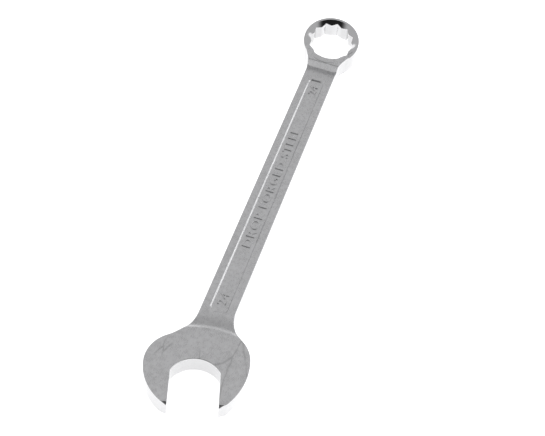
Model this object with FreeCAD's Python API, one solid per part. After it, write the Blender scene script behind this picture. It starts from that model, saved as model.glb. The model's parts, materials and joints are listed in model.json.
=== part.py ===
import FreeCAD, Part
import math
import os

# Combination wrench for a 24 mm hexagon: an open end turned to one side, a flat shank with a
# sunk panel on each face, and a twelve-point ring end tilted out of the shank's plane.
# Millimetres.  +X runs along the shank from the open end to the ring end, +Z is up, and the
# wrench lies flat.  While it is built, x = 0 and y = 0 are at the bottom of the jaw's throat;
# at the end everything is shifted so that the origin is at the middle of its footprint.

# ---- driving dimensions ---------------------------------------------------------------------
across_flats = 24.0            # the hexagon that both ends turn
jaw_clearance = 0.3            # the open end is this much wider than the hexagon
ring_clearance = 0.2           # and the ring this much

centre_distance = 246.0        # from the jaw's throat to the ring's axis on its upper face
jaw_angle = 16.0               # turn of the open end about Z
ring_tilt = 15.0               # rise of the ring end out of the shank's plane

head_thickness = 10.6
jaw_depth = 26.0               # from the throat to the tips
left_tip_width = 2.6           # of each jaw's end face
right_tip_width = 4.0
tip_rake = 28.0                # degrees that the end faces slope back
throat_bulge = 1.85            # the throat's radius is this much over half the opening
throat_corner_radius = 2.5
left_cheek = 13.4              # thickness of each jaw at its widest place
right_cheek = 14.1
left_widest = -3.0             # and how far that place is behind the throat
right_widest = 0.5
shoulder_radius = 17.5         # outline from the widest place towards the shank
left_blend_radius = 26.0       # hollow outline between shoulder and shank
right_blend_radius = 20.0
head_edge_radius = 0.7

step_radius = 46.0             # round step where the thick head drops to the shank
step_reach = 17.8              # from the throat to the foot of the thick face
step_run = 3.3                 # length of the slope

shank_thickness = 7.0
shank_width_open = 18.0        # at the open end
shank_width_ring = 19.2        # at the ring end
shank_edge_radius = 1.3

panel_width = 9.0              # sunk panel, measured at the shank's face
panel_depth = 0.8
panel_slope = 0.7              # how far the panel's walls lean in, all round
panel_margin = 2.5             # from each end of the shank to its panel
panel_corner_radius = 2.0

ring_wall = 3.53               # outside the valleys of the opening
ring_height = 14.5
ring_edge_radius = 0.6
ring_face_width = 1.5          # from the ring's outside to the lead-in
ring_chamfer_angle = 30.0
neck_length = 27.0             # from the end of the shank to the ring's axis
neck_radius = 27.0             # hollow outline between shank and ring
neck_ramp = 3.2                # length of the slope up to the ring
neck_clear = 0.3               # the neck ends this far from the ring's rounded edges

mark_margin = 1.3              # from the raised marks to the foot of the panel's walls
mark_stroke = 0.9
mark_rise = 0.45
numeral_margin = 5.0           # from each end of the panel to its numerals
wording_length = 95.0

head_length = 28.5             # from the throat to the start of the shank

wording = "DROP FORGED STEEL"

# Letters as strokes on a field 4 wide and 6 high.
STROKES = {
    "0": [[(1, 0), (0, 1), (0, 5), (1, 6), (3, 6), (4, 5), (4, 1), (3, 0), (1, 0)]],
    "1": [[(1, 5), (2, 6), (2, 0)]],
    "2": [[(0, 5), (1, 6), (3, 6), (4, 5), (4, 4), (0, 0), (4, 0)]],
    "3": [[(0, 6), (4, 6), (2, 4), (3, 4), (4, 3), (4, 1), (3, 0), (1, 0), (0, 1)]],
    "4": [[(3, 0), (3, 6), (0, 2), (4, 2)]],
    "5": [[(4, 6), (0, 6), (0, 3), (3, 3), (4, 2), (4, 1), (3, 0), (0, 0)]],
    "6": [[(4, 5), (3, 6), (1, 6), (0, 5), (0, 1), (1, 0), (3, 0), (4, 1), (4, 2), (3, 3),
           (0, 3)]],
    "7": [[(0, 6), (4, 6), (1, 0)]],
    "8": [[(1, 3), (0, 4), (0, 5), (1, 6), (3, 6), (4, 5), (4, 4), (3, 3), (4, 2), (4, 1),
           (3, 0), (1, 0), (0, 1), (0, 2), (1, 3), (3, 3)]],
    "9": [[(0, 1), (1, 0), (3, 0), (4, 1), (4, 5), (3, 6), (1, 6), (0, 5), (0, 4), (1, 3),
           (4, 3)]],
    "D": [[(0, 0), (0, 6), (3, 6), (4, 5), (4, 1), (3, 0), (0, 0)]],
    "E": [[(4, 6), (0, 6), (0, 0), (4, 0)], [(0, 3), (3, 3)]],
    "F": [[(4, 6), (0, 6), (0, 0)], [(0, 3), (3, 3)]],
    "G": [[(4, 5), (3, 6), (1, 6), (0, 5), (0, 1), (1, 0), (3, 0), (4, 1), (4, 3), (2, 3)]],
    "L": [[(0, 6), (0, 0), (4, 0)]],
    "O": [[(1, 0), (0, 1), (0, 5), (1, 6), (3, 6), (4, 5), (4, 1), (3, 0), (1, 0)]],
    "P": [[(0, 0), (0, 6), (3, 6), (4, 5), (4, 4), (3, 3), (0, 3)]],
    "R": [[(0, 0), (0, 6), (3, 6), (4, 5), (4, 4), (3, 3), (0, 3)], [(2, 3), (4, 0)]],
    "S": [[(0, 1), (1, 0), (3, 0), (4, 1), (4, 2), (3, 3), (1, 3), (0, 4), (0, 5), (1, 6),
           (3, 6), (4, 5)]],
    "T": [[(0, 6), (4, 6)], [(2, 6), (2, 0)]],
}
FIELD_WIDTH = 4
FIELD_HEIGHT = 6

# ---- sizes that follow ----------------------------------------------------------------------
jaw_half = (across_flats + jaw_clearance) / 2
throat_radius = jaw_half + throat_bulge
# The flats end where the round throat meets them.
flats_end = throat_radius - math.sqrt(throat_radius ** 2 - jaw_half ** 2)
ring_flat = (across_flats + ring_clearance) / 2
ring_valley = ring_flat / math.cos(math.radians(30))
ring_crest = ring_flat / math.cos(math.radians(15))
ring_radius = ring_valley + ring_wall
neck_split = centre_distance - neck_length
panel_from = head_length + panel_margin
panel_to = neck_split - panel_margin
mark_height = panel_width - 2 * (panel_slope + mark_margin)
mid_height = head_thickness / 2
shank_top = mid_height + shank_thickness / 2
shank_bottom = mid_height - shank_thickness / 2
turn = math.radians(jaw_angle)
tilt = math.radians(ring_tilt)
# The wrench rests on the head's lower face and on the ring's rounded near lower edge.
ring_top = ((ring_radius - ring_edge_radius) * math.sin(tilt)
            + (ring_height - ring_edge_radius) * math.cos(tilt) + ring_edge_radius)
ring_top_centre = FreeCAD.Vector(centre_distance, 0, ring_top)
up = FreeCAD.Vector(0, 0, 1)
BIG = 4 * centre_distance


def vec(x, y, z=0.0):
    return FreeCAD.Vector(x, y, z)


def from_jaw(u, v):
    """A place given along and across the jaw's middle line, in the wrench's own axes."""
    return vec(u * math.cos(turn) - v * math.sin(turn), u * math.sin(turn) + v * math.cos(turn))


def polygon(points):
    return Part.makePolygon(points + points[:1])


def prism(wire, bottom, top):
    solid = Part.Face(wire).extrude(up * (top - bottom))
    solid.translate(up * bottom)
    return solid


def slab(x_from, x_to):
    """Everything between two stations along the shank."""
    return Part.makeBox(x_to - x_from, BIG, BIG, vec(x_from, -BIG / 2, -BIG / 2))


def arc_between(centre, radius, start, end):
    """The shorter arc of a circle from one point on it to another."""
    middle = (start + end) * 0.5 - centre
    return Part.Arc(start, centre + middle.normalize() * radius, end).toShape()


def round_horizontal_edges(solid, radius, heights):
    """Round the edges that lie flat at the given heights."""
    chosen = []
    for edge in solid.Edges:
        box = edge.BoundBox
        for height in heights:
            if abs(box.ZMin - height) < 1e-4 and abs(box.ZMax - height) < 1e-4:
                chosen.append(edge)
    return solid.makeFillet(radius, chosen)


# ---- outline in plan ------------------------------------------------------------------------
def shank_edge(side):
    """Start, direction and outward normal of one edge of the shank (side is +1 or -1)."""
    start = vec(0, side * shank_width_open / 2)
    end = vec(centre_distance, side * shank_width_ring / 2)
    along = (end - start).normalize()
    outward = vec(-along.y, along.x) * side
    return start, along, outward


def blend_centre(side, radius, circle_centre, circle_radius, direction):
    """Centre of the hollow arc that touches a shank edge and, from outside, a circle.

    direction is +1 where the shank runs away from the circle towards +X, and -1 otherwise.
    """
    start, along, outward = shank_edge(side)
    base = start + outward * radius - circle_centre
    b = base.dot(along)
    c = base.dot(base) - (circle_radius + radius) ** 2
    return start + outward * radius + along * (-b + direction * math.sqrt(b * b - c))


def head_side(side):
    """The jaw's inner tip, then the edges of its end, cheek, shoulder and blend, and where they end."""
    if side > 0:
        reach, widest = jaw_half + left_cheek, left_widest
        tip_width, blend = left_tip_width, left_blend_radius
    else:
        reach, widest = jaw_half + right_cheek, right_widest
        tip_width, blend = right_tip_width, right_blend_radius
    rake = tip_width * math.tan(math.radians(tip_rake))
    run = jaw_depth - rake + widest
    drop = reach - jaw_half - tip_width
    cheek = (run ** 2 + drop ** 2) / (2 * drop)
    cheek_centre = from_jaw(widest, side * (reach - cheek))
    shoulder_centre = from_jaw(widest, side * (reach - shoulder_radius))
    inner_tip = from_jaw(-jaw_depth, side * jaw_half)
    outer_tip = from_jaw(rake - jaw_depth, side * (jaw_half + tip_width))
    wide = from_jaw(widest, side * reach)
    hollow = blend_centre(side, blend, shoulder_centre, shoulder_radius, 1)
    to_hollow = (hollow - shoulder_centre).normalize()
    meet = shoulder_centre + to_hollow * shoulder_radius
    outward = shank_edge(side)[2]
    leave = hollow - outward * blend
    edges = [Part.makeLine(inner_tip, outer_tip),
             arc_between(cheek_centre, cheek, outer_tip, wide),
             arc_between(shoulder_centre, shoulder_radius, wide, meet),
             arc_between(hollow, blend, meet, leave)]
    return inner_tip, edges, leave


def plan_outline():
    """The closed outline of jaws, shank and neck, without the jaw's opening."""
    ring_centre = vec(centre_distance + (ring_top - mid_height) * math.tan(tilt), 0)
    sides = {}
    for side in (1, -1):
        tip, edges, leave = head_side(side)
        hollow = blend_centre(side, neck_radius, ring_centre, ring_radius, -1)
        enter = hollow - shank_edge(side)[2] * neck_radius
        meet = hollow + (ring_centre - hollow).normalize() * neck_radius
        edges.append(Part.makeLine(leave, enter))
        edges.append(arc_between(hollow, neck_radius, enter, meet))
        sides[side] = (tip, edges, meet)
    left_tip, left_edges, left_end = sides[1]
    right_tip, right_edges, right_end = sides[-1]
    closing = [Part.makeLine(left_end, right_end), Part.makeLine(right_tip, left_tip)]
    return Part.Wire(Part.__sortEdges__(left_edges + right_edges + closing))


# ---- the open end ---------------------------------------------------------------------------
def jaw_opening():
    """The jaw's mouth: two parallel flats and a round throat with rounded corners."""
    outer = 2 * jaw_depth
    a, b = from_jaw(-outer, jaw_half), from_jaw(-flats_end, jaw_half)
    c, d = from_jaw(-flats_end, -jaw_half), from_jaw(-outer, -jaw_half)
    wire = Part.Wire([Part.makeLine(a, b), Part.Arc(b, vec(0, 0), c).toShape(),
                      Part.makeLine(c, d), Part.makeLine(d, a)])
    tool = prism(wire, -head_thickness, 2 * head_thickness)
    corners = []
    for edge in tool.Edges:
        middle = edge.BoundBox.Center
        if min((vec(middle.x, middle.y) - p).Length for p in (b, c)) < 1e-3:
            corners.append(edge)
    return tool.makeFillet(throat_corner_radius, corners)


def thick_head(outline):
    """The full-height part of the head, which ends in a round step towards the shank."""
    block = round_horizontal_edges(prism(outline, 0, head_thickness), head_edge_radius,
                                   (0, head_thickness))
    outer = step_radius + step_run
    half_profile = [vec(0, 0, 0), vec(step_radius, 0, 0), vec(outer, 0, shank_bottom),
                    vec(outer, 0, shank_top), vec(step_radius, 0, head_thickness),
                    vec(0, 0, head_thickness)]
    limit = Part.Face(polygon(half_profile)).revolve(vec(0, 0, 0), up, 360)
    limit.translate(from_jaw(step_reach - step_radius, 0))
    return block.common(limit)


# ---- the shank ------------------------------------------------------------------------------
def panel_outline(shrink, height):
    """The panel's rounded rectangle at one depth."""
    x0, x1 = panel_from + shrink, panel_to - shrink
    half = panel_width / 2 - shrink
    radius = panel_corner_radius - shrink / 2
    k = radius * (1 - math.sqrt(0.5))
    edges = [Part.makeLine(vec(x0 + radius, -half, height), vec(x1 - radius, -half, height)),
             Part.Arc(vec(x1 - radius, -half, height), vec(x1 - k, -half + k, height),
                      vec(x1, -half + radius, height)).toShape(),
             Part.makeLine(vec(x1, -half + radius, height), vec(x1, half - radius, height)),
             Part.Arc(vec(x1, half - radius, height), vec(x1 - k, half - k, height),
                      vec(x1 - radius, half, height)).toShape(),
             Part.makeLine(vec(x1 - radius, half, height), vec(x0 + radius, half, height)),
             Part.Arc(vec(x0 + radius, half, height), vec(x0 + k, half - k, height),
                      vec(x0, half - radius, height)).toShape(),
             Part.makeLine(vec(x0, half - radius, height), vec(x0, -half + radius, height)),
             Part.Arc(vec(x0, -half + radius, height), vec(x0 + k, -half + k, height),
                      vec(x0 + radius, -half, height)).toShape()]
    return Part.Wire(edges)


def sunk_panel(face_height, inward):
    """What is taken out of one face; inward is -1 for the upper face and +1 for the lower."""
    floor = face_height + inward * panel_depth
    above = face_height - inward * panel_depth
    wires = [panel_outline(panel_slope, floor), panel_outline(-panel_slope, above)]
    return Part.makeLoft(wires, True, True)


# ---- the ring end ---------------------------------------------------------------------------
def place_ring(shape):
    """Tilt a shape drawn with the ring's upper face at z = 0, and put it in place."""
    shape.rotate(vec(0, 0, 0), vec(0, 1, 0), -ring_tilt)
    shape.translate(ring_top_centre)
    return shape


def twelve_points():
    """The ring's opening: two hexagons, one turned by 30 degrees."""
    points = []
    for k in range(24):
        angle = math.radians(15 * k)
        radius = ring_valley if k % 2 == 0 else ring_crest
        points.append(vec(radius * math.cos(angle), radius * math.sin(angle)))
    return prism(polygon(points), -2 * ring_height, ring_height)


def lead_in():
    """The cone at the mouth of the opening, with its wide end on the face at z = 0."""
    mouth = ring_radius - ring_face_width
    fall = mouth * math.tan(math.radians(ring_chamfer_angle))
    return Part.makeCone(0, mouth, fall, vec(0, 0, -fall), up)


def ring_head():
    body = Part.makeCylinder(ring_radius, ring_height, vec(0, 0, -ring_height), up)
    body = round_horizontal_edges(body, ring_edge_radius, (0, -ring_height))
    lower = lead_in()
    lower.rotate(vec(0, 0, -ring_height / 2), vec(1, 0, 0), 180)
    return place_ring(body.cut(twelve_points()).cut(lead_in()).cut(lower))


def neck():
    """Joins the shank to the ring: it widens in plan and climbs to the ring's upper edge."""
    slope = math.tan(tilt)
    margin = (ring_edge_radius + neck_clear) / math.cos(tilt)
    near = centre_distance - ring_radius * math.cos(tilt)
    ramp_end = near + neck_clear + 1.0
    ramp_top = ring_top + (ramp_end - centre_distance) * slope - margin
    far = centre_distance + ring_height * math.sin(tilt)
    foot = near + ring_height * math.sin(tilt)
    side = [vec(neck_split, 0, shank_bottom), vec(foot, 0, shank_bottom),
            vec(far, 0, max(shank_bottom, margin) + (far - foot) * slope),
            vec(far, 0, ramp_top + (far - ramp_end) * slope),
            vec(ramp_end, 0, ramp_top), vec(ramp_end - neck_ramp, 0, shank_top),
            vec(neck_split, 0, shank_top)]
    profile = Part.Face(polygon(side)).extrude(vec(0, 4 * ring_radius, 0))
    profile.translate(vec(0, -2 * ring_radius, 0))
    block = prism(plan_outline(), 0, ring_top)
    barrel = place_ring(Part.makeCylinder(ring_radius, 4 * ring_height,
                                          vec(0, 0, -2 * ring_height), up))
    return profile.common(block).cut(barrel)


# ---- raised marks ---------------------------------------------------------------------------
def stroke_bar(a, b, bottom, top):
    """A straight stroke with round ends, between two points."""
    along = (b - a).normalize()
    across = vec(-along.y, along.x) * (mark_stroke / 2)
    tail, nose = a - along * (mark_stroke / 2), b + along * (mark_stroke / 2)
    wire = Part.Wire([Part.makeLine(a + across, b + across),
                      Part.Arc(b + across, nose, b - across).toShape(),
                      Part.makeLine(b - across, a - across),
                      Part.Arc(a - across, tail, a + across).toShape()])
    return prism(wire, bottom, top)


def letter(name, x, scale):
    """One raised letter, standing on the floor of the upper panel."""
    floor = shank_top - panel_depth
    bars = []
    for stroke in STROKES[name]:
        for p, q in zip(stroke, stroke[1:]):
            a = vec(x + p[0] * scale, (p[1] - FIELD_HEIGHT / 2) * scale)
            b = vec(x + q[0] * scale, (q[1] - FIELD_HEIGHT / 2) * scale)
            bars.append(stroke_bar(a, b, floor, floor + mark_rise))
    if len(bars) == 1:
        return bars[0]
    return bars[0].multiFuse(bars[1:]).removeSplitter()


def raised_text(text, x_from, pitch):
    """Letters one pitch apart, with a gap where the text has a space."""
    scale = (mark_height - mark_stroke) / FIELD_HEIGHT
    start = x_from + mark_stroke / 2
    solids = []
    for k, name in enumerate(text):
        if name != " ":
            solids += letter(name, start + k * pitch, scale).Solids
    return Part.makeCompound(solids)


# ---- the nodes ------------------------------------------------------------------------------
def build_nodes():
    outline = plan_outline()
    flat_body = round_horizontal_edges(prism(outline, shank_bottom, shank_top),
                                       shank_edge_radius, (shank_bottom, shank_top))
    opening = jaw_opening()
    thick = thick_head(outline).cut(opening)
    front = Part.makeBox(BIG, BIG, BIG,
                         vec(-BIG - flats_end - throat_corner_radius, -BIG / 2, -BIG / 2))
    front.rotate(vec(0, 0, 0), up, jaw_angle)
    right_jaw, left_jaw = sorted(thick.common(front).Solids,
                                 key=lambda solid: solid.CenterOfMass.y)
    flare = flat_body.common(slab(0, head_length))
    web = thick.cut(front).fuse(flare.cut(opening)).removeSplitter()
    shank = flat_body.common(slab(head_length, neck_split))
    shank = shank.cut(sunk_panel(shank_top, -1)).cut(sunk_panel(shank_bottom, 1))

    letter_width = FIELD_WIDTH * (mark_height - mark_stroke) / FIELD_HEIGHT + mark_stroke
    numeral_pitch = letter_width * 1.22
    numeral_length = numeral_pitch + letter_width
    numeral_from = panel_from + numeral_margin
    numeral_to = panel_to - numeral_margin
    wording_from = (panel_from + panel_to - wording_length) / 2
    wording_pitch = (wording_length - letter_width) / (len(wording) - 1)
    size = "%d" % across_flats
    return {
        "left_jaw": left_jaw,
        "right_jaw": right_jaw,
        "head_web": web,
        "shank": shank,
        "ring_neck": neck(),
        "ring_head": ring_head(),
        "open_end_numerals": raised_text(size, numeral_from, numeral_pitch),
        "ring_end_numerals": raised_text(size, numeral_to - numeral_length, numeral_pitch),
        "raised_wording": raised_text(wording, wording_from, wording_pitch),
    }


def main():
    os.makedirs("parts", exist_ok=True)
    nodes = build_nodes()
    box = Part.makeCompound(list(nodes.values())).optimalBoundingBox(False, False)
    shift = vec(-box.Center.x, -box.Center.y, -box.ZMin)
    for name, shape in nodes.items():
        shape.translate(shift)
        shape.exportStep("parts/%s.step" % name)
        print("%-20s %7.2f cm3  %d solid(s)  valid %s" % (
            name, shape.Volume / 1000, len(shape.Solids), shape.isValid()))
    print("size %.2f x %.2f x %.2f  shift %.3f %.3f %.3f" % (
        box.XLength, box.YLength, box.ZLength, shift.x, shift.y, shift.z))


main()
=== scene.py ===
"""Looks for a 24 mm combination wrench: one chrome-plated forging, drawn region by region.

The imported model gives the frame: its jaw mouth, ring socket, shank and head say where every
surface goes.  The fine meshes here round its edges, blend the head into the shank and the
shank into the ring, and carry the satin and polished chrome.
"""
import json
import math

import bmesh
import bpy
import numpy as np
from bpy.props import FloatProperty, FloatVectorProperty, PointerProperty, StringProperty
from mathutils import Euler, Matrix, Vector
from mathutils.geometry import delaunay_2d_cdt


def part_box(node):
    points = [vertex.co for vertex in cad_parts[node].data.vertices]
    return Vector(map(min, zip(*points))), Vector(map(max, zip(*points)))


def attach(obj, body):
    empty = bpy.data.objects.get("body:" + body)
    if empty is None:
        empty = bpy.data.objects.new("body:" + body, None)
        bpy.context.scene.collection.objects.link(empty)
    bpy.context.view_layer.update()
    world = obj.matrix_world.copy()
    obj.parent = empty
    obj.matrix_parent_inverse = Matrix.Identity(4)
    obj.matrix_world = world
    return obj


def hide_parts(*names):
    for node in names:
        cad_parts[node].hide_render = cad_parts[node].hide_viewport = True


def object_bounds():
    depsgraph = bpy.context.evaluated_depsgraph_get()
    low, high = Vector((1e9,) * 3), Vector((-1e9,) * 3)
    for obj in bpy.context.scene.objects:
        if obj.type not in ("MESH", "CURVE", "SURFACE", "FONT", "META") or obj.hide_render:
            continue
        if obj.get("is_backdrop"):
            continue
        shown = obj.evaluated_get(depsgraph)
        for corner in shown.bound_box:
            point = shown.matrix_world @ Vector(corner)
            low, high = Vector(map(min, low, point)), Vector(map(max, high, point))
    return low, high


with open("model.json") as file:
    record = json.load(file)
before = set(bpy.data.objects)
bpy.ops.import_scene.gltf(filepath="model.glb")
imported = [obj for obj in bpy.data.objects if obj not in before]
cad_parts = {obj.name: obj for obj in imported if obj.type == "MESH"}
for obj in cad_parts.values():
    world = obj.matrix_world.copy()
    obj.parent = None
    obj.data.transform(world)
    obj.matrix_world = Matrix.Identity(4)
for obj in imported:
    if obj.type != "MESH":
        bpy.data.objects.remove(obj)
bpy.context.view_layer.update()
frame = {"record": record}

bl_info = {
    "name": "Combination wrench",
    "version": (1, 0, 0),
    "blender": (4, 5, 0),
    "location": "View3D > Sidebar > Wrench",
    "description": "Builds the fine surfaces, finishes and studio of a combination wrench",
    "category": "Object",
}

MM = 0.001

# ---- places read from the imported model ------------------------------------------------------
MOUNTS = {mount["name"]: mount for mount in frame["record"]["mounts"]}
RING_AXIS = np.array(MOUNTS["ring_socket"]["axis"])
RING_MIDDLE = np.array(MOUNTS["ring_socket"]["pos_m"])
JAW_OUT = np.array(MOUNTS["jaw_mouth"]["axis"])[:2]
JAW_IN = -JAW_OUT
JAW_LEFT = np.array([-JAW_IN[1], JAW_IN[0]])
LEFT_FLAT = np.array(MOUNTS["left_jaw_flat"]["pos_m"])[:2]
RIGHT_FLAT = np.array(MOUNTS["right_jaw_flat"]["pos_m"])[:2]
SHANK_LOW, SHANK_HIGH = (np.array(corner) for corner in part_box("shank"))
HEAD_LOW, HEAD_HIGH = (np.array(corner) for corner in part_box("head_web"))
AXIS_Y = RING_MIDDLE[1]
MID_Z = (SHANK_LOW[2] + SHANK_HIGH[2]) / 2
JAW_HALF = float((LEFT_FLAT - RIGHT_FLAT) @ JAW_LEFT) / 2


def length(name, default, text):
    """A size that a user may change, in metres."""
    return FloatProperty(name=name, description=text, default=default, unit="LENGTH",
                         precision=5)


class WrenchSizes(bpy.types.PropertyGroup):
    """Sizes of the fine surfaces."""
    jaw_depth: length("Jaw depth", 26.0 * MM, "From the throat to the tips")
    throat_bulge: length("Throat bulge", 1.85 * MM, "Throat radius over half the opening")
    throat_corner: length("Throat corner", 2.5 * MM, "Radius between throat and flats")
    left_tip: length("Left tip", 2.6 * MM, "Width of the left jaw's end face")
    right_tip: length("Right tip", 4.0 * MM, "Width of the right jaw's end face")
    tip_rake: FloatProperty(name="Tip rake", description="Slope of the end faces",
                            default=math.radians(28), subtype="ANGLE")
    tip_round: length("Tip round", 0.4 * MM, "Radius of the tips' corners")
    tip_bevel: length("Tip bevel", 1.9 * MM, "Length of the slope at the jaws' tips")
    tip_slope: FloatProperty(name="Tip slope", description="Steepness of the tips' slopes",
                             default=math.radians(38), subtype="ANGLE")
    left_cheek: length("Left cheek", 13.4 * MM, "Widest thickness of the left jaw")
    right_cheek: length("Right cheek", 14.1 * MM, "Widest thickness of the right jaw")
    left_widest: length("Left widest", -3.0 * MM, "Where the left jaw is widest")
    right_widest: length("Right widest", 0.5 * MM, "Where the right jaw is widest")
    shoulder: length("Shoulder", 17.5 * MM, "Radius from the widest place to the shank")
    left_blend: length("Left blend", 26.0 * MM, "Hollow radius, left of the shank")
    right_blend: length("Right blend", 20.0 * MM, "Hollow radius, right of the shank")
    head_edge: length("Head edge", 0.22 * MM, "Rounding of the head's edges")
    throat_edge: length("Throat edge", 0.6 * MM, "Rounding of the throat's edges")
    step_radius: length("Step radius", 46.0 * MM, "Radius of the step behind the head")
    step_reach: length("Step reach", 17.8 * MM, "From the throat to the step")
    step_run: length("Step run", 3.6 * MM, "Length of the step's slope")
    step_dish: length("Step dish", 0.30 * MM, "Depth of the hollow behind the step")
    shank_open: length("Shank width, open end", 18.0 * MM, "Width near the open end")
    shank_ring: length("Shank width, ring end", 19.2 * MM, "Width near the ring")
    shank_edge: length("Shank edge", 0.55 * MM, "Rounding of the shank's edges")
    draft: length("Draft", 0.1 * MM, "How far the side walls lean in from the middle")
    panel_width: length("Panel width", 9.0 * MM, "Width of the sunk panel")
    panel_depth: length("Panel depth", 0.8 * MM, "Depth of the sunk panel")
    panel_wall: length("Panel wall", 1.0 * MM, "Width of the panel's sloping wall")
    panel_margin: length("Panel margin", 2.5 * MM, "From the shank's ends to the panel")
    panel_corner: length("Panel corner", 2.6 * MM, "Radius of the panel's corners")
    ring_wall: length("Ring wall", 3.53 * MM, "Ring thickness outside the valleys")
    ring_height: length("Ring height", 14.5 * MM, "Height of the ring")
    ring_edge: length("Ring edge", 0.6 * MM, "Rounding of the ring's outer edges")
    ring_face: length("Ring face", 1.5 * MM, "From the ring's outside to its lead-in")
    ring_flats: length("Ring flats", 24.2 * MM, "Across the flats of the twelve points")
    lead_in: FloatProperty(name="Lead-in", description="Slope of the lead-in cones",
                           default=math.radians(30), subtype="ANGLE")
    neck_blend: length("Neck blend", 27.0 * MM, "Hollow radius between shank and ring")
    neck_crease: length("Neck crease", 18.3 * MM, "From the ring's axis to the foot of the ramp")
    neck_slope: FloatProperty(name="Neck slope", description="Steepness of the ramp",
                              default=math.radians(63), subtype="ANGLE")
    neck_gap: length("Neck gap", 0.5 * MM, "From the ring's faces down to the neck")
    letter_height: length("Letter height", 4.8 * MM, "Height of the raised marks")
    letter_rise: length("Letter rise", 0.5 * MM, "How far the marks stand up")
    wording_length: length("Wording length", 95.0 * MM, "Length of the raised wording")
    numeral_margin: length("Numeral margin", 5.0 * MM, "From the panel's ends to the numerals")


class WrenchLooks(bpy.types.PropertyGroup):
    """Finishes and wording."""
    satin: FloatVectorProperty(name="Satin chrome", description="Colour of the ground faces",
                               default=(0.64, 0.64, 0.645), subtype="COLOR")
    polished: FloatVectorProperty(name="Polished chrome", subtype="COLOR",
                                  description="Colour of the edges, walls and ring",
                                  default=(0.62, 0.62, 0.625))
    floor: FloatVectorProperty(name="Floor", description="Colour of the floor",
                               default=(0.93, 0.93, 0.93), subtype="COLOR")
    wording: StringProperty(name="Wording", description="Plain wording raised on the shank",
                            default="DROP FORGED STEEL")
    size_mark: StringProperty(name="Size mark", description="Raised size numerals",
                              default="24")


def sizes():
    return bpy.context.scene.wrench_sizes


def looks():
    return bpy.context.scene.wrench_looks


# ---- plane geometry -------------------------------------------------------------------------
CURVE_STEP = 0.55 * MM
LONG_STEP = 2.5 * MM
NORMAL_STEP = 0.02 * MM        # half the distance over which a slope is measured


def unit(v):
    return v / np.linalg.norm(v)


def from_jaw(s, along, across):
    """A place given along and across the jaw's middle line from the throat's middle."""
    middle = (LEFT_FLAT + RIGHT_FLAT) / 2
    pos = np.array(MOUNTS["jaw_mouth"]["pos_m"])[:2]
    throat = pos + JAW_IN * (JAW_HALF + s.throat_bulge)
    offset = float((middle - throat) @ JAW_LEFT)
    return throat + JAW_IN * along + JAW_LEFT * (across + offset)


def line(a, b, step=LONG_STEP):
    """Points from a up to, but not including, b."""
    count = max(1, round(np.linalg.norm(b - a) / step))
    return [a + (b - a) * k / count for k in range(count)]


def arc(centre, a, b, step=CURVE_STEP):
    """Points of the shorter arc from a up to, but not including, b."""
    start, end = a - centre, b - centre
    radius = np.linalg.norm(start)
    first = math.atan2(start[1], start[0])
    sweep = (math.atan2(end[1], end[0]) - first + math.pi) % (2 * math.pi) - math.pi
    count = max(3, round(abs(sweep) * radius / step))
    angles = [first + sweep * k / count for k in range(count)]
    return [centre + radius * np.array([math.cos(t), math.sin(t)]) for t in angles]


def rounded(before, corner, after, radius, step=0.12 * MM):
    """The first point, the arc's points and the last point of a rounded corner."""
    a, b = unit(before - corner), unit(after - corner)
    half = math.acos(float(np.clip(a @ b, -1, 1))) / 2
    cut = radius / math.tan(half)
    centre = corner + unit(a + b) * radius / math.sin(half)
    return corner + a * cut, arc(centre, corner + a * cut, corner + b * cut, step), corner + b * cut


def shank_edge_line(s, side):
    """Start, direction and outward normal of the shank's edge on one side (+1 or -1)."""
    throat = from_jaw(s, 0, 0)
    start = np.array([throat[0], AXIS_Y + side * s.shank_open / 2])
    ring_top = ring_face_centre(s)
    end = np.array([ring_top[0], AXIS_Y + side * s.shank_ring / 2])
    along = unit(end - start)
    return start, along, side * np.array([-along[1], along[0]])


def touching_centre(s, side, radius, centre, centre_radius, direction):
    """Centre of the hollow arc that touches a shank edge and, from outside, a circle."""
    start, along, outward = shank_edge_line(s, side)
    base = start + outward * radius - centre
    b = float(base @ along)
    c = float(base @ base) - (centre_radius + radius) ** 2
    return start + outward * radius + along * (-b + direction * math.sqrt(b * b - c))


def ring_radius(s):
    return s.ring_flats / 2 / math.cos(math.radians(30)) + s.ring_wall


def ring_face_centre(s):
    return RING_MIDDLE + RING_AXIS * s.ring_height / 2


def ring_plan_centre(s, z):
    """Where the ring's leaning axis is at one height."""
    return RING_MIDDLE[:2] + RING_AXIS[:2] / RING_AXIS[2] * (z - RING_MIDDLE[2])


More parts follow.
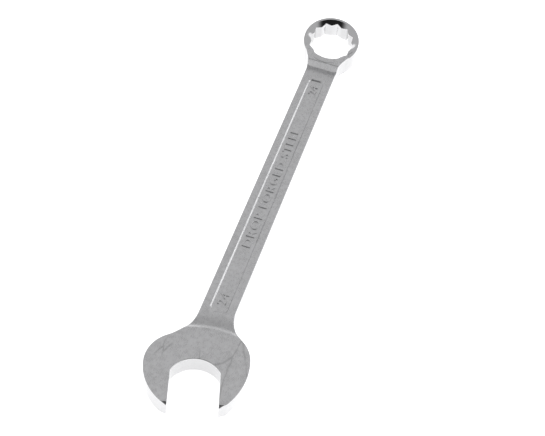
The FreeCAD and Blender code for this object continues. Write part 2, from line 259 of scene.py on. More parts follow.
def side_outline(s, side):
    """Points of one side from the jaw's inner tip to the ring, and its inner tip."""
    left = side > 0
    reach = JAW_HALF + (s.left_cheek if left else s.right_cheek)
    widest = s.left_widest if left else s.right_widest
    tip = s.left_tip if left else s.right_tip
    blend = s.left_blend if left else s.right_blend
    rake = tip * math.tan(s.tip_rake)
    run, drop = s.jaw_depth - rake + widest, reach - JAW_HALF - tip
    cheek = (run ** 2 + drop ** 2) / (2 * drop)
    inner = from_jaw(s, -s.jaw_depth, side * JAW_HALF)
    outer = from_jaw(s, rake - s.jaw_depth, side * (JAW_HALF + tip))
    wide = from_jaw(s, widest, side * reach)
    cheek_centre = from_jaw(s, widest, side * (reach - cheek))
    shoulder_centre = from_jaw(s, widest, side * (reach - s.shoulder))
    hollow = touching_centre(s, side, blend, shoulder_centre, s.shoulder, 1)
    meet = shoulder_centre + unit(hollow - shoulder_centre) * s.shoulder
    outward = shank_edge_line(s, side)[2]
    leave = hollow - outward * blend

    ring_centre, radius = ring_plan_centre(s, MID_Z), ring_radius(s)
    neck = touching_centre(s, side, s.neck_blend, ring_centre, radius, -1)
    enter = neck - outward * s.neck_blend
    touch = neck + unit(ring_centre - neck) * s.neck_blend

    cheek_points = arc(cheek_centre, outer, wide)
    flat_point = from_jaw(s, 0, side * JAW_HALF)
    first = rounded(flat_point, inner, outer, s.tip_round)
    second = rounded(inner, outer, cheek_points[1], s.tip_round)
    points = first[1] + line(first[2], second[0], CURVE_STEP) + second[1] + [second[2]]
    points += cheek_points[2:] + arc(shoulder_centre, wide, meet)
    points += arc(hollow, meet, leave, 1.0 * MM) + line(leave, enter)
    points += arc(neck, enter, touch, 0.8 * MM) + [touch]
    return points, first[0]


def throat_outline(s):
    """Points from the left flat round the throat to the right flat."""
    radius = JAW_HALF + s.throat_bulge
    centre = from_jaw(s, -radius, 0)
    reach = radius - math.sqrt(radius ** 2 - JAW_HALF ** 2)
    corners = {}
    for side in (1, -1):
        # A rounded corner that touches the flat and, from inside, the throat's circle.
        height = JAW_HALF - s.throat_corner
        back = math.sqrt((radius - s.throat_corner) ** 2 - height ** 2)
        middle = from_jaw(s, back - radius, side * height)
        on_flat = from_jaw(s, back - radius, side * JAW_HALF)
        on_throat = centre + unit(middle - centre) * radius
        corners[side] = (middle, on_flat, on_throat)
    left, right = corners[1], corners[-1]
    points = arc(left[0], left[1], left[2], 0.4 * MM)
    points += arc(centre, left[2], right[2], CURVE_STEP)
    points += arc(right[0], right[2], right[1], 0.4 * MM) + [right[1]]
    return points, reach


def plan_outline(s):
    """The whole outline in plan, anticlockwise, with steel on its left."""
    right, right_flat = side_outline(s, -1)
    left, left_flat = side_outline(s, 1)
    throat = throat_outline(s)[0]
    ring_centre = ring_plan_centre(s, MID_Z)
    inside = ring_radius(s) - 3.2 * MM
    turn_in = ring_centre + unit(right[-1] - ring_centre) * inside
    turn_out = ring_centre + unit(left[-1] - ring_centre) * inside
    points = right + arc(ring_centre, turn_in, turn_out, 0.8 * MM) + [turn_out] + left[::-1]
    points += line(left_flat, throat[0], 1.0 * MM)[1:] + throat[:-1]
    points += line(throat[-1], right_flat, 1.0 * MM)
    return np.array(points)


def split_at(points, place, direction):
    """Adds a point wherever the closed outline crosses a line; place is on the line."""
    normal = np.array([-direction[1], direction[0]])
    out = []
    for a, b in zip(points, np.roll(points, -1, axis=0)):
        out.append(a)
        da, db = float((a - place) @ normal), float((b - place) @ normal)
        if da * db < 0:
            out.append(a + (b - a) * da / (da - db))
    return np.array(out)


def crossings(points, place, direction):
    """Numbers of the outline's points that split_at put on a line, in order along it."""
    normal = np.array([-direction[1], direction[0]])
    on = [k for k, p in enumerate(points) if abs(float((p - place) @ normal)) < 1e-9]
    return sorted(on, key=lambda k: float((points[k] - place) @ direction))


def outline_normals(points):
    """Outward unit normals of a closed anticlockwise outline; a short side counts for more."""
    forward = np.roll(points, -1, axis=0) - points
    forward /= (np.linalg.norm(forward, axis=1) ** 3)[:, None]
    tangent = forward + np.roll(forward, 1, axis=0)
    tangent /= np.linalg.norm(tangent, axis=1)[:, None]
    return np.stack([tangent[:, 1], -tangent[:, 0]], 1)


# ---- heights --------------------------------------------------------------------------------
def smooth(t):
    t = np.clip(t, 0, 1)
    return t * t * (3 - 2 * t)


def soft_max(a, b, radius):
    return (a + b + np.sqrt((a - b) ** 2 + radius ** 2)) / 2


def soft_min(a, b, radius):
    return -soft_max(-a, -b, radius)


def step_distance(s, p):
    """How far a place is past the start of the step behind the head."""
    centre = from_jaw(s, s.step_reach - s.step_radius, 0)
    return np.linalg.norm(p - centre, axis=-1) - s.step_radius


def thin_share(s, p):
    """0 on the thick head, 1 on the shank."""
    t = step_distance(s, p) / s.step_run
    return np.clip(soft_min(soft_max(t, np.zeros_like(t), 0.25), np.ones_like(t), 0.40), 0, 1)


def panel_ends(s):
    return SHANK_LOW[0] + s.panel_margin, SHANK_HIGH[0] - s.panel_margin


def panel_distance(s, p):
    """Signed distance to the panel's rounded rectangle, negative inside."""
    x0, x1 = panel_ends(s)
    half = np.array([(x1 - x0) / 2, s.panel_width / 2])
    q = np.abs(p - np.array([(x0 + x1) / 2, AXIS_Y])) - half + s.panel_corner
    outside = np.linalg.norm(np.maximum(q, 0), axis=-1)
    return outside + np.minimum(q.max(axis=-1), 0) - s.panel_corner


def ring_plane(s, p, side):
    """Height of the ring's upper (+1) or lower (-1) face plane at a place."""
    centre = RING_MIDDLE + side * RING_AXIS * s.ring_height / 2
    return centre[2] - ((p - centre[:2]) @ RING_AXIS[:2]) / RING_AXIS[2]


def surface(s, p, side):
    """Height of the upper (+1) or lower (-1) surface of head, shank and neck."""
    head = HEAD_HIGH[2] if side > 0 else HEAD_LOW[2]
    flat = SHANK_HIGH[2] if side > 0 else SHANK_LOW[2]
    share = thin_share(s, p)
    away = step_distance(s, p) - s.step_run
    dish = s.step_dish * np.exp(-(away / (4.5 * MM)) ** 2) * smooth(share * 1.2 - 0.2)
    z = head + (flat - head) * share - side * dish
    tip = (p - from_jaw(s, -s.jaw_depth, 0)) @ JAW_IN
    bevel = soft_max(s.tip_bevel - tip, np.zeros_like(tip), 0.15 * MM)
    z = z - side * bevel * math.tan(s.tip_slope)
    wall = 0.5 - panel_distance(s, p) / s.panel_wall
    z = z - side * s.panel_depth * smooth(wall)
    crease = ring_face_centre(s)[0] - s.neck_crease
    gap = s.neck_gap / RING_AXIS[2]
    rise = flat + side * (p[..., 0] - crease) * math.tan(s.neck_slope)
    ceiling = ring_plane(s, p, side) - side * gap
    if side > 0:
        climb = soft_min(rise, ceiling, 0.4 * MM)
        return soft_max(z, climb, 0.25 * MM)
    return soft_max(z, ceiling, 0.8 * MM)


def edge_radius(s, p):
    """Rounding of the outline's edges: crisp on the head, soft on the shank."""
    share = smooth((step_distance(s, p) + 1.0 * MM) / (9.0 * MM))
    place = p - from_jaw(s, 0, 0)
    outside = np.maximum(np.abs(place @ JAW_LEFT) - JAW_HALF, place @ JAW_IN)
    throat = smooth((place @ JAW_IN) / (4 * MM) + 2.2) * (1 - smooth(outside / (1.0 * MM)))
    head = s.head_edge + (s.throat_edge - s.head_edge) * throat
    return head + (s.shank_edge - head) * share


def wall_draft(s, p):
    """Lean of the side walls: none inside the mouth, whose flats are cut straight."""
    place = p - from_jaw(s, 0, 0)
    along, across = place @ JAW_IN, np.abs(place @ JAW_LEFT)
    return s.draft * smooth(np.maximum(across - JAW_HALF, along) / (1.5 * MM))


def surface_normals(s, p, side):
    h = NORMAL_STEP
    dx, dy = np.array([h, 0]), np.array([0, h])
    gx = (surface(s, p + dx, side) - surface(s, p - dx, side)) / (2 * h)
    gy = (surface(s, p + dy, side) - surface(s, p - dy, side)) / (2 * h)
    n = np.stack([-gx, -gy, np.ones_like(gx)], 1) * side
    return n / np.linalg.norm(n, axis=1)[:, None]


# ---- the forging's mesh ---------------------------------------------------------------------
ROUND_STEPS = 6


def lean_with_ring(s, p, z):
    """Near the ring the side walls lean the way its axis does."""
    crease = ring_face_centre(s)[0] - s.neck_crease
    share = smooth((p[:, 0] - crease + 3 * MM) / (12 * MM))
    return p + np.outer(share * (z - MID_Z), RING_AXIS[:2] / RING_AXIS[2])


def feature_points(s, inner, side):
    """Points and edges that follow the step, the panel and the neck inside the flat faces."""
    points, edges = [], []

    def add(row, closed):
        first = len(points)
        points.extend(row)
        last = len(points) - 1
        edges.extend((k, k + 1) for k in range(first, last))
        if closed:
            edges.append((last, first))

    x0, x1 = panel_ends(s)
    for share in (-0.62, -0.5, -0.38, -0.25, -0.12, 0, 0.12, 0.25, 0.38, 0.5, 0.62):
        grow = share * s.panel_wall
        r = s.panel_corner + grow
        half = s.panel_width / 2 + grow
        a, b, low, high = x0 - grow, x1 + grow, AXIS_Y - half, AXIS_Y + half
        row = line(np.array([a + r, low]), np.array([b - r, low]))
        row += arc(np.array([b - r, low + r]), np.array([b - r, low]), np.array([b, low + r]))
        row += line(np.array([b, low + r]), np.array([b, high - r]), 1.0 * MM)
        row += arc(np.array([b - r, high - r]), np.array([b, high - r]), np.array([b - r, high]))
        row += line(np.array([b - r, high]), np.array([a + r, high]))
        row += arc(np.array([a + r, high - r]), np.array([a + r, high]), np.array([a, high - r]))
        row += line(np.array([a, high - r]), np.array([a, low + r]), 1.0 * MM)
        row += arc(np.array([a + r, low + r]), np.array([a, low + r]), np.array([a + r, low]))
        add(row, True)

    centre = from_jaw(s, s.step_reach - s.step_radius, 0)
    facing = math.atan2(JAW_IN[1], JAW_IN[0])
    shares = [-0.3, -0.15, -0.05, 0.05, 0.15, 0.3, 0.5, 0.7, 0.85, 1.0, 1.15, 1.3, 1.5, 1.8]
    reaches = [s.step_run * share for share in shares] + [k * MM for k in range(7, 15)]
    for reach in reaches:
        radius = s.step_radius + reach
        swing = 26 * MM / radius
        angles = facing + np.linspace(-swing, swing, 66)
        ring = centre + radius * np.stack([np.cos(angles), np.sin(angles)], 1)
        ring = ring[ring[:, 0] < panel_ends(s)[0] - 1.0 * MM]
        if len(ring) > 1:
            add_inside(add, ring, inner)

    for side_of_mouth in (1, -1):
        for k in range(-3, 4):
            along = s.tip_bevel + k * 0.12 * MM - s.jaw_depth
            row = [from_jaw(s, along, side_of_mouth * (JAW_HALF + j * 0.4 * MM))
                   for j in range(1, 30)]
            add_inside(add, np.array(row), inner)

    crease = ring_face_centre(s)[0] - s.neck_crease
    stations = [crease + k * 0.2 * MM for k in range(-8, 30)]
    stations += [crease + (6 + 0.8 * k) * MM for k in range(15)]
    for x in stations:
        row = np.stack([np.full(40, x), AXIS_Y + np.linspace(-19, 19, 40) * MM], 1)
        add_inside(add, row, inner)
    return points, edges


def add_inside(add, row, inner):
    """Adds the stretches of a row of points that lie well inside a closed outline."""
    run = []
    for p, keep in zip(row, well_inside(row, inner)):
        if keep:
            run.append(p)
        elif run:
            add(run, False)
            run = []
    if run:
        add(run, False)


def well_inside(points, loop, margin=0.25 * MM):
    a, b = loop, np.roll(loop, -1, axis=0)
    p = points[:, None, :]
    crosses = (a[:, 1] > p[..., 1]) != (b[:, 1] > p[..., 1])
    rise = np.where(b[:, 1] == a[:, 1], 1e-12, b[:, 1] - a[:, 1])
    x = a[:, 0] + (p[..., 1] - a[:, 1]) * (b[:, 0] - a[:, 0]) / rise
    inside = (crosses & (p[..., 0] < x)).sum(1) % 2 == 1
    along = b - a
    t = np.clip(((p - a) * along).sum(2) / (along ** 2).sum(1), 0, 1)
    near = np.linalg.norm(p - (a + along * t[..., None]), axis=2).min(1)
    return inside & (near > margin)


def face_sheet(s, side, inner, cut_edges):
    """Triangles of one flat side inside its last edge row, and where the row's points are."""
    extra, edges = feature_points(s, inner, side)
    count = len(inner)
    points = [Vector(p) for p in inner] + [Vector(p) for p in extra]
    edges = [(k, (k + 1) % count) for k in range(count)] + cut_edges + [
        (a + count, b + count) for a, b in edges]
    found = delaunay_2d_cdt(points, edges, [], 0, 1e-8, True)
    places = np.array([list(v) for v in found[0]])
    # Every point of the last edge row must come back, so that the rows join without a gap.
    back = {}
    for new, olds in enumerate(found[3]):
        for old in olds:
            back[old] = new
    missing = [k for k in range(count) if k not in back]
    if missing:
        raise RuntimeError("the flat face lost points of its edge: %s" % missing[:5])
    faces = [list(face) for face in found[2]]
    centres = np.array([places[face].mean(0) for face in faces])
    faces = [face for face, keep in zip(faces, well_inside(centres, inner, 0)) if keep]
    return places, faces, [back[k] for k in range(count)]


def region_cuts(s):
    """The cuts between jaws, head, shank and neck: a place and a direction for each."""
    reach = throat_outline(s)[1] + s.throat_corner
    return [(from_jaw(s, -reach, 0), JAW_LEFT),
            (np.array([SHANK_LOW[0], AXIS_Y]), np.array([0.0, 1.0])),
            (np.array([SHANK_HIGH[0], AXIS_Y]), np.array([0.0, 1.0]))]


def region_of(s, p):
    """Which node's region a place belongs to."""
    reach = throat_outline(s)[1] + s.throat_corner
    from_throat = p - from_jaw(s, 0, 0)
    if float(from_throat @ JAW_IN) < -reach:
        return "left_jaw" if float(from_throat @ JAW_LEFT) > 0 else "right_jaw"
    if p[0] < SHANK_LOW[0]:
        return "head_web"
    return "shank" if p[0] < SHANK_HIGH[0] else "ring_neck"


class Forging:
    """The joined mesh of head, shank and neck, before it is divided into regions."""

    def __init__(self, s):
        self.places, self.normals, self.shine, self.dull = [], [], [], []
        self.faces, self.owners = [], []
        outline = plan_outline(s)
        cuts = region_cuts(s)
        for place, direction in cuts:
            outline = split_at(outline, place, direction)
        outward = outline_normals(outline)
        self.inward = -outward
        cut_edges = []
        for place, direction in cuts:
            on = crossings(outline, place, direction)
            cut_edges += list(zip(on[::2], on[1::2]))
            for k in on:
                self.inward[k] = -direction / float(direction @ outward[k])
        self.owner_of_column = [region_of(s, (a + b) / 2) for a, b in
                                zip(outline, np.roll(outline, -1, axis=0))]
        middle = self.add_row(s, outline, np.full(len(outline), MID_Z),
                              np.column_stack([outward, np.zeros(len(outline))]), 1.0)
        for side in (1, -1):
            self.add_side(s, side, outline, outward, middle, cut_edges)

    def add_row(self, s, plan, z, normals, shine):
        first = len(self.places)
        plan = lean_with_ring(s, plan, z)
        self.places.extend(np.column_stack([plan, z]))
        self.normals.extend(normals)
        self.shine.extend([shine] * len(plan))
        # Painted shade: a dark band on the flats in the hollow behind the step, fading out on the
        # polished rows.
        behind = (step_distance(s, plan) - s.step_run - 2.0 * MM) / (4.0 * MM)
        self.dull.extend(0.4 * (1 - shine) * np.exp(-behind ** 2))
        return list(range(first, first + len(plan)))

    def add_side(self, s, side, outline, outward, middle, cut_edges):
        radius, draft = edge_radius(s, outline), wall_draft(s, outline)
        flat = surface(s, outline + self.inward * (draft + radius)[:, None], side)
        row, last_plan = middle, outline
        # Painted shade: the rounding of the shank's lower edge is darker than its walls.
        lower = np.zeros(len(outline)) if side > 0 else smooth(
            (step_distance(s, outline) - 4 * MM) / (6 * MM))
        if side < 0:
            plan = outline + self.inward * (draft * 0.8)[:, None]
            lean = np.column_stack([outward, np.zeros(len(outline))])
            new = self.add_row(s, plan, flat + radius + 0.45 * MM, lean, 1.0)
            self.add_strip(row, new, side)
            row = new
        for k in range(ROUND_STEPS + 1):
            angle = math.pi / 2 * k / ROUND_STEPS
            inset = draft + radius * (1 - math.cos(angle))
            last_plan = outline + self.inward * inset[:, None]
            z = flat - side * radius * (1 - math.sin(angle))
            up = surface_normals(s, last_plan, side)
            lean = np.column_stack([outward, np.zeros(len(outline))])
            normals = lean * math.cos(angle) + up * math.sin(angle)
            if k == ROUND_STEPS:
                z = surface(s, last_plan, side)
                normals = up
            shine = 1.0 - 0.75 * k / ROUND_STEPS
            new = self.add_row(s, last_plan, z, normals, shine)
            for number, amount in zip(new, lower):
                self.dull[number] = max(self.dull[number], amount)
            self.add_strip(row, new, side)
            row = new
        places, faces, back = face_sheet(s, side, last_plan, cut_edges)
        top = surface(s, places, side)
        numbers = {back[k]: row[k] for k in range(len(row))}
        fresh = [k for k in range(len(places)) if k not in numbers]
        added = self.add_row(s, places[fresh], top[fresh],
                             surface_normals(s, places[fresh], side), 0.0)
        numbers.update(zip(fresh, added))
        for face in faces:
            corners = [numbers[k] for k in face]
            centre = places[face].mean(0)
            self.faces.append(corners if side > 0 else corners[::-1])
            self.owners.append(region_of(s, centre))

    def add_strip(self, low, high, side):
        count = len(low)
        for k in range(count):
            n = (k + 1) % count
            face = [low[k], low[n], high[n], high[k]]
            self.faces.append(face if side > 0 else face[::-1])
            self.owners.append(self.owner_of_column[k])

    def region(self, name):
        """Vertices, faces, normals and the shine and painted-shade layers of one region."""
        faces = [f for f, owner in zip(self.faces, self.owners) if owner == name]
        used = sorted({k for face in faces for k in face})
        number = {k: i for i, k in enumerate(used)}
        return ([self.places[k] for k in used], [[number[k] for k in f] for f in faces],
                [self.normals[k] for k in used],
                {"shine": [self.shine[k] for k in used], "dull": [self.dull[k] for k in used]})


def close_cuts(mesh):
    """Fills the flat cuts where one region meets the next, so that each piece is closed."""
    bm = bmesh.new()
    bm.from_mesh(mesh)
    border = [edge for edge in bm.edges if edge.is_boundary]
    filled = bmesh.ops.holes_fill(bm, edges=border, sides=0)["faces"]
    for face in filled:
        face.smooth = False
    bm.to_mesh(mesh)
    bm.free()


def make_piece(name, places, faces, material):
    mesh = bpy.data.meshes.new(name)
    mesh.from_pydata([tuple(p) for p in places], [], faces)
    mesh.materials.append(material)
    piece = bpy.data.objects.new(name, mesh)
    bpy.context.scene.collection.objects.link(piece)
    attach(piece, "root")
    return piece


def set_layer(mesh, name, values):
    layer = mesh.attributes.new(name, "FLOAT", "POINT")
    layer.data.foreach_set("value", np.array(values, np.float32))


def forging_piece(forging, region, name):
    places, faces, normals, layers = forging.region(region)
    piece = make_piece(name, places, faces, satin_chrome())
    mesh = piece.data
    for layer, values in layers.items():
        set_layer(mesh, layer, values)
    mesh.shade_smooth()
    close_cuts(mesh)
    mesh.normals_split_custom_set_from_vertices([tuple(n) for n in normals])
    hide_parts(region)
    return piece


# ---- the ring -------------------------------------------------------------------------------
RING_COLUMNS = 240
LEAD_IN_SOFT = 0.22 * MM       # rounding where the lead-in meets the face and the bore


def ring_profile(s):
    """Outer half of the ring's section: radius and height pairs, from lead-in to lead-in."""
    outer, half, edge = ring_radius(s), s.ring_height / 2, s.ring_edge
    mouth = outer - s.ring_face
    soft = LEAD_IN_SOFT
    upper = []
    for k in range(4):
        t = k / 3
        upper.append((mouth - soft * (1 - t), half - soft * math.tan(s.lead_in) * (1 - t) ** 2))
    for k in range(9):
        angle = math.pi / 2 * k / 8
        upper.append((outer - edge * (1 - math.sin(angle)), half - edge * (1 - math.cos(angle))))
    belly = [(outer, half - edge - (s.ring_height - 2 * edge) * k / 4) for k in (1, 2, 3)]
    return upper + belly + [(r, -z) for r, z in reversed(upper)]


def bore_radius(s, angle):
    """Radius of the twelve-point opening in one direction."""
    within = abs((math.degrees(angle) + 15) % 30 - 15)
    return s.ring_flats / 2 / math.cos(math.radians(30 - within))


def build_ring(s):
    outer_rows = ring_profile(s)
    mouth, half = ring_radius(s) - s.ring_face, s.ring_height / 2
    soft = LEAD_IN_SOFT
    slope = math.tan(s.lead_in)
    u = np.array([RING_AXIS[2], 0, -RING_AXIS[0]])
    v = np.array([0, 1, 0])
    places = []
    for k in range(RING_COLUMNS):
        angle = 2 * math.pi * k / RING_COLUMNS
        out = u * math.cos(angle) + v * math.sin(angle)
        bore = bore_radius(s, angle)
        depth = (mouth - bore) * slope
        inner = [(bore + soft / 2, half - depth + soft / 2 * slope), (bore, half - depth - soft)]
        inner += [(bore, half - depth - soft - (s.ring_height - 2 * depth - 2 * soft) * j / 4)
                  for j in (1, 2, 3, 4)]
        inner += [(bore + soft / 2, depth - half - soft / 2 * slope)]
        for r, z in outer_rows + inner[::-1]:
            places.append(RING_MIDDLE + out * r + RING_AXIS * z)
    count = len(places) // RING_COLUMNS
    faces = []
    for k in range(RING_COLUMNS):
        n = (k + 1) % RING_COLUMNS
        for j in range(count):
            m = (j + 1) % count
            faces.append([k * count + j, k * count + m, n * count + m, n * count + j])
    piece = make_piece("Ring_head", places, faces, polished_chrome())
    bm = bmesh.new()
    bm.from_mesh(piece.data)
    bmesh.ops.recalc_face_normals(bm, faces=bm.faces)
    bm.to_mesh(piece.data)
    bm.free()
    piece.data.shade_smooth()
    piece.data.set_sharp_from_angle(angle=math.radians(24))
    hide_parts("ring_head")
    return piece


# ---- raised marks ---------------------------------------------------------------------------
BURIED = 0.15 * MM             # how far the marks reach into the panel's floor


def raised_mark(name, text, x_from, x_to, node):
    """Letters with rounded edges, set on the floor of the upper panel."""
    s = sizes()
    curve = bpy.data.curves.new(name, "FONT")
    curve.body = text
    curve.size = 1.0
    curve.resolution_u = 6
    curve.extrude = 0.05
    curve.bevel_depth = 0.028
    curve.bevel_resolution = 3
    curve.offset = -0.028
    curve.space_character = 1.15
    holder = bpy.data.objects.new(name + "_letters", curve)
    bpy.context.scene.collection.objects.link(holder)
    bpy.context.view_layer.update()
    mesh = bpy.data.meshes.new_from_object(holder)
    bpy.data.objects.remove(holder)
    co = np.array([v.co[:] for v in mesh.vertices])
    low, high = co.min(0), co.max(0)
    share = (co - low) / (high - low)
    floor = SHANK_HIGH[2] - s.panel_depth
    places = np.column_stack([
        x_from + (x_to - x_from) * share[:, 0],
        AXIS_Y + s.letter_height * (share[:, 1] - 0.5),
        floor - BURIED + (s.letter_rise + BURIED) * share[:, 2]])
    faces = [list(p.vertices) for p in mesh.polygons]
    piece = make_piece(name, places, faces, satin_chrome())
    bm = bmesh.new()
    bm.from_mesh(piece.data)
    bmesh.ops.remove_doubles(bm, verts=bm.verts, dist=0.004 * MM)
    bmesh.ops.recalc_face_normals(bm, faces=bm.faces)
    bm.to_mesh(piece.data)
    bm.free()
    set_layer(piece.data, "shine", [0.55] * len(piece.data.vertices))
    piece.data.shade_smooth()
    piece.data.set_sharp_from_angle(angle=math.radians(35))
    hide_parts(node)
    return piece


# ---- shader maths ---------------------------------------------------------------------------
class Socket:
    """A value or link in a node tree that can be used in expressions."""

    def __init__(self, tree, link):
        self.tree, self.link = tree, link

    def node(self, kind, settings=None, out=0, **inputs):
        return add_node(self.tree, kind, settings, out, **inputs)

    def math(self, operation, a, b):
        return self.node("ShaderNodeMath", {"operation": operation}, i0=a, i1=b)

    def __add__(self, other):
        return self.math("ADD", self, other)

    def __radd__(self, other):
        return self.math("ADD", other, self)

    def __sub__(self, other):
        return self.math("SUBTRACT", self, other)

    def __rsub__(self, other):
        return self.math("SUBTRACT", other, self)

    def __mul__(self, other):
        return self.math("MULTIPLY", self, other)

    def __rmul__(self, other):
        return self.math("MULTIPLY", other, self)


def add_node(tree, kind, settings=None, out=0, **inputs):
    """Adds a node: its settings first, then values or links for its inputs by number."""
    node = tree.nodes.new(kind)
    for key, value in (settings or {}).items():
        setattr(node, key, value)
    for key, value in inputs.items():
        socket = node.inputs[int(key[1:])]
        if isinstance(value, Socket):
            tree.links.new(value.link, socket)
        elif value is not None:
            socket.default_value = value
    return Socket(tree, node.outputs[out])


def new_material(name, colour, roughness):
    material = bpy.data.materials.new(name)
    material.use_nodes = True
    shader = material.node_tree.nodes["Principled BSDF"]
    shader.inputs["Base Color"].default_value = (*colour, 1)
    shader.inputs["Metallic"].default_value = 1.0
    shader.inputs["Roughness"].default_value = roughness
    return material, material.node_tree, shader


def mix_colour(tree, factor, a, b):
    return add_node(tree, "ShaderNodeMix", {"data_type": "RGBA"}, 2, i0=factor, i6=a, i7=b)


def ramp(tree, value, low, high):
    """0 below low, 1 above high, smooth between."""
    return add_node(tree, "ShaderNodeMapRange", {"interpolation_type": "SMOOTHSTEP"},
                    i0=value, i1=low, i2=high, i3=0.0, i4=1.0)


def object_place(tree, stretch):
    place = add_node(tree, "ShaderNodeTexCoord", None, 3)
    return add_node(tree, "ShaderNodeMapping", None, 0, i0=place, i3=stretch)


def noise(tree, stretch, scale, detail):
    place = object_place(tree, stretch)
    return add_node(tree, "ShaderNodeTexNoise", None, 0, i0=place, i2=scale, i3=detail)


def hairlines(tree):
    """Faint dark hairlines, thin and broken, on the head only: 1 on a line."""
    place = add_node(tree, "ShaderNodeTexCoord", None, 3)
    drift = add_node(tree, "ShaderNodeTexNoise", None, 1, i0=place, i2=55, i3=2)
    shift = add_node(tree, "ShaderNodeVectorMath", {"operation": "SCALE"}, 0, i0=drift, i3=0.004)
    bent = add_node(tree, "ShaderNodeVectorMath", {"operation": "ADD"}, 0, i0=place, i1=shift)
    drawn = add_node(tree, "ShaderNodeMapping", None, 0, i0=bent, i3=(0.28, 1, 1))
    gap = add_node(tree, "ShaderNodeTexVoronoi", {"feature": "DISTANCE_TO_EDGE"}, 0,
                   i0=drawn, i2=62)
    x = add_node(tree, "ShaderNodeSeparateXYZ", None, 0, i0=place)
    on_head = 1 - ramp(tree, x, HEAD_HIGH[0] - 10 * MM, HEAD_HIGH[0] - 6 * MM)
    broken = ramp(tree, noise(tree, (1, 1, 1), 60, 1), 0.40, 0.52)
    return (1 - ramp(tree, gap, 0.0, 0.022)) * broken * on_head


def satin_chrome():
    """Ground and plated faces: mottled and grained, with hairlines, buffed at the edges, and
    darkened with painted shade in places.
    """
    name = "Satin_chrome_plate"
    if name in bpy.data.materials:
        return bpy.data.materials[name]
    colour = tuple(looks().satin)
    material, tree, shader = new_material(name, colour, 0.3)
    shine = add_node(tree, "ShaderNodeAttribute", {"attribute_name": "shine"}, 2)
    cloud = noise(tree, (1, 1, 1), 130, 3)
    mottle = noise(tree, (1, 1, 1), 520, 2)
    grain = noise(tree, (1, 6, 1), 900, 2)
    polish = ramp(tree, shine, 0.2, 0.75)
    tone = ramp(tree, cloud * 0.2 + mottle * 0.4 + grain * 0.4, 0.34, 0.66)
    low, high = (*[c * 0.88 for c in colour], 1), (*[c * 1.08 for c in colour], 1)
    ground = mix_colour(tree, tone, low, high)
    ground = mix_colour(tree, hairlines(tree) * 0.5, ground, (*[c * 0.5 for c in colour], 1))
    base = mix_colour(tree, polish, ground, (*tuple(looks().polished), 1))
    # Painted shade: the painted-shade layer darkens the colour towards 0.3 of the satin, in the
    # hollow behind the step and on the shank's lower edge.
    dull = add_node(tree, "ShaderNodeAttribute", {"attribute_name": "dull"}, 2)
    base = mix_colour(tree, dull * 0.75, base, (*[c * 0.3 for c in colour], 1))
    tree.links.new(base.link, shader.inputs["Base Color"])
    rough = (0.25 + 0.11 * tone) * (1 - polish) + 0.12 * polish
    tree.links.new(rough.link, shader.inputs["Roughness"])
    bump = add_node(tree, "ShaderNodeBump", None, 0, i0=0.16, i1=0.00002,
                    i3=grain * 0.6 + mottle * 0.4)
    tree.links.new(bump.link, shader.inputs["Normal"])
    return material


def polished_chrome():
    """Buffed plate: bright, with faint smears in its gloss."""
    name = "Polished_chrome_plate"
    if name in bpy.data.materials:
        return bpy.data.materials[name]
    colour = tuple(looks().polished)
    material, tree, shader = new_material(name, colour, 0.08)
    smear = noise(tree, (1, 1, 1), 160, 3)
    rough = 0.05 + 0.06 * smear
    tree.links.new(rough.link, shader.inputs["Roughness"])
    tone = mix_colour(tree, smear, (*[c * 0.96 for c in colour], 1), (*colour, 1))
    tree.links.new(tone.link, shader.inputs["Base Color"])
    return material


def floor_paint():
    colour = tuple(looks().floor)
    material, tree, shader = new_material("floor_paint", colour, 0.7)
    shader.inputs["Metallic"].default_value = 0.0
    shader.inputs["Specular IOR Level"].default_value = 0.1
    shader.inputs["Emission Color"].default_value = (1, 1, 1, 1)
    shader.inputs["Emission Strength"].default_value = 0.9
    return material


# ---- the stage ------------------------------------------------------------------------------
CAMERA_TARGET = Vector((-0.0161, -0.0059, MID_Z))
CAMERA_HEADING = 10.87         # degrees from +X towards +Y that the camera looks
CAMERA_DROP = 49.52            # degrees that it looks down
CAMERA_ROLL = 8.49
CAMERA_DISTANCE = 0.5599
CAMERA_LENS = 67.31


def build_camera():
    camera = bpy.data.cameras.new("Camera")
    camera.lens = CAMERA_LENS
    camera.clip_start = 0.01
    holder = bpy.data.objects.new("Camera", camera)
    heading, drop = math.radians(CAMERA_HEADING), math.radians(CAMERA_DROP)
    forward = Vector((math.cos(drop) * math.cos(heading), math.cos(drop) * math.sin(heading),
                      -math.sin(drop)))
    holder.location = CAMERA_TARGET - forward * CAMERA_DISTANCE
    look = forward.to_track_quat("-Z", "Y").to_matrix()
    roll = Euler((0, 0, math.radians(CAMERA_ROLL))).to_matrix()
    holder.rotation_euler = (look @ roll).to_euler()
    bpy.context.scene.collection.objects.link(holder)
    bpy.context.scene.camera = holder


FLOOR_HALF = 3.0
FLOOR_GAP = 0.02 * MM          # under the lowest place of the wrench


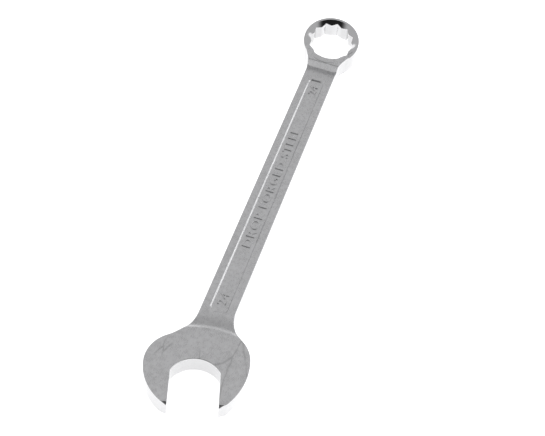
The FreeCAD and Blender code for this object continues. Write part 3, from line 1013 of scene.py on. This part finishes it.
def build_floor():
    half = FLOOR_HALF
    mesh = bpy.data.meshes.new("Floor")
    mesh.from_pydata([(-half, -half, 0), (half, -half, 0), (half, half, 0), (-half, half, 0)],
                     [], [(0, 1, 2, 3)])
    mesh.materials.append(floor_paint())
    floor = bpy.data.objects.new("Floor", mesh)
    floor.location.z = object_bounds()[0][2] - FLOOR_GAP
    bpy.context.scene.collection.objects.link(floor)
    floor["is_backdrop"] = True


def build_sky():
    """Studio light: bright low sky, a greyer ceiling, a dark corner and two small boxes."""
    world = bpy.data.worlds.new("Studio")
    bpy.context.scene.world = world
    world.use_nodes = True
    tree = world.node_tree
    background = tree.nodes["Background"]
    direction = add_node(tree, "ShaderNodeTexCoord", None, 0)
    parts = {axis: add_node(tree, "ShaderNodeSeparateXYZ", None, k, i0=direction)
             for k, axis in enumerate("xyz")}

    def facing(way):
        return add_node(tree, "ShaderNodeVectorMath", {"operation": "DOT_PRODUCT"}, 1,
                        i0=direction, i1=tuple(Vector(way).normalized()))

    def cone(way, outer, inner):
        """1 within the inner angle of a direction, 0 outside the outer one."""
        return ramp(tree, facing(way), math.cos(math.radians(outer)),
                    math.cos(math.radians(inner)))

    dark = cone((-0.62, -0.14, 0.76), 44, 25)
    dark = dark * ramp(tree, parts["z"], 0.46, 0.60) * (1 - ramp(tree, parts["z"], 0.82, 0.93))
    ceiling = ramp(tree, parts["z"] + 0.10 * parts["x"] + 0.20 * parts["y"], 0.15, 0.30)
    left = cone((0.40, -0.65, 0.64), 8, 4)
    right = cone((0.46, 0.77, 0.44), 8, 4)
    horizon = 1.2 - 0.75 * parts["y"] + 0.4 * parts["x"]
    level = horizon + ceiling * (0.62 * (1 - 0.97 * dark) - horizon) + 0.8 * (left + right)
    tree.links.new(level.link, background.inputs["Strength"])
    background.inputs["Color"].default_value = (1.0, 1.0, 1.01, 1)


# ---- operators ------------------------------------------------------------------------------
_forging = {}


def shared_forging():
    if "mesh" not in _forging:
        _forging["mesh"] = Forging(sizes())
    return _forging["mesh"]


class WRENCH_OT_jaws(bpy.types.Operator):
    """Build the two jaws of the open end"""
    bl_idname = "wrench.jaws"
    bl_label = "Jaws"

    def execute(self, context):
        forging_piece(shared_forging(), "left_jaw", "Left_jaw")
        forging_piece(shared_forging(), "right_jaw", "Right_jaw")
        return {"FINISHED"}


class WRENCH_OT_head(bpy.types.Operator):
    """Build the head behind the jaws, with its throat and step"""
    bl_idname = "wrench.head"
    bl_label = "Head"

    def execute(self, context):
        forging_piece(shared_forging(), "head_web", "Head_web")
        return {"FINISHED"}


class WRENCH_OT_shank(bpy.types.Operator):
    """Build the shank with its sunk panels"""
    bl_idname = "wrench.shank"
    bl_label = "Shank"

    def execute(self, context):
        forging_piece(shared_forging(), "shank", "Shank")
        return {"FINISHED"}


class WRENCH_OT_neck(bpy.types.Operator):
    """Build the neck that climbs to the ring"""
    bl_idname = "wrench.neck"
    bl_label = "Neck"

    def execute(self, context):
        forging_piece(shared_forging(), "ring_neck", "Ring_neck")
        return {"FINISHED"}


class WRENCH_OT_ring(bpy.types.Operator):
    """Build the twelve-point ring"""
    bl_idname = "wrench.ring"
    bl_label = "Ring"

    def execute(self, context):
        build_ring(sizes())
        return {"FINISHED"}


class WRENCH_OT_marks(bpy.types.Operator):
    """Build the raised size numerals and the plain wording"""
    bl_idname = "wrench.marks"
    bl_label = "Raised marks"

    def execute(self, context):
        s = sizes()
        x0, x1 = panel_ends(s)
        wide = 1.55 * s.letter_height
        start, end = x0 + s.numeral_margin, x1 - s.numeral_margin
        middle = (x0 + x1) / 2
        raised_mark("Open_end_numerals", looks().size_mark, start, start + wide,
                    "open_end_numerals")
        raised_mark("Ring_end_numerals", looks().size_mark, end - wide, end,
                    "ring_end_numerals")
        raised_mark("Raised_wording", looks().wording, middle - s.wording_length / 2,
                    middle + s.wording_length / 2, "raised_wording")
        return {"FINISHED"}


class WRENCH_OT_stage(bpy.types.Operator):
    """Set up the camera, the floor and the studio light"""
    bl_idname = "wrench.stage"
    bl_label = "Stage"

    def execute(self, context):
        build_camera()
        build_floor()
        build_sky()
        context.scene.view_settings.view_transform = "Standard"
        return {"FINISHED"}


PIECE_OPERATORS = (WRENCH_OT_jaws, WRENCH_OT_head, WRENCH_OT_shank, WRENCH_OT_neck,
                   WRENCH_OT_ring, WRENCH_OT_marks, WRENCH_OT_stage)


class WRENCH_PT_panel(bpy.types.Panel):
    """Lists the wrench's operators and looks"""
    bl_idname = "WRENCH_PT_panel"
    bl_label = "Combination wrench"
    bl_space_type = "VIEW_3D"
    bl_region_type = "UI"
    bl_category = "Wrench"

    def draw(self, context):
        column = self.layout.column()
        for operator in PIECE_OPERATORS:
            column.operator(operator.bl_idname)
        for name in WrenchLooks.__annotations__:
            column.prop(context.scene.wrench_looks, name)


CLASSES = (WrenchSizes, WrenchLooks) + PIECE_OPERATORS + (WRENCH_PT_panel,)


def register():
    for cls in CLASSES:
        bpy.utils.register_class(cls)
    bpy.types.Scene.wrench_sizes = PointerProperty(type=WrenchSizes)
    bpy.types.Scene.wrench_looks = PointerProperty(type=WrenchLooks)


def unregister():
    del bpy.types.Scene.wrench_looks
    del bpy.types.Scene.wrench_sizes
    for cls in reversed(CLASSES):
        bpy.utils.unregister_class(cls)


def main():
    register()
    bpy.ops.wrench.jaws()
    bpy.ops.wrench.head()
    bpy.ops.wrench.shank()
    bpy.ops.wrench.neck()
    bpy.ops.wrench.ring()
    bpy.ops.wrench.marks()
    bpy.ops.wrench.stage()


if __name__ == "__main__":
    main()
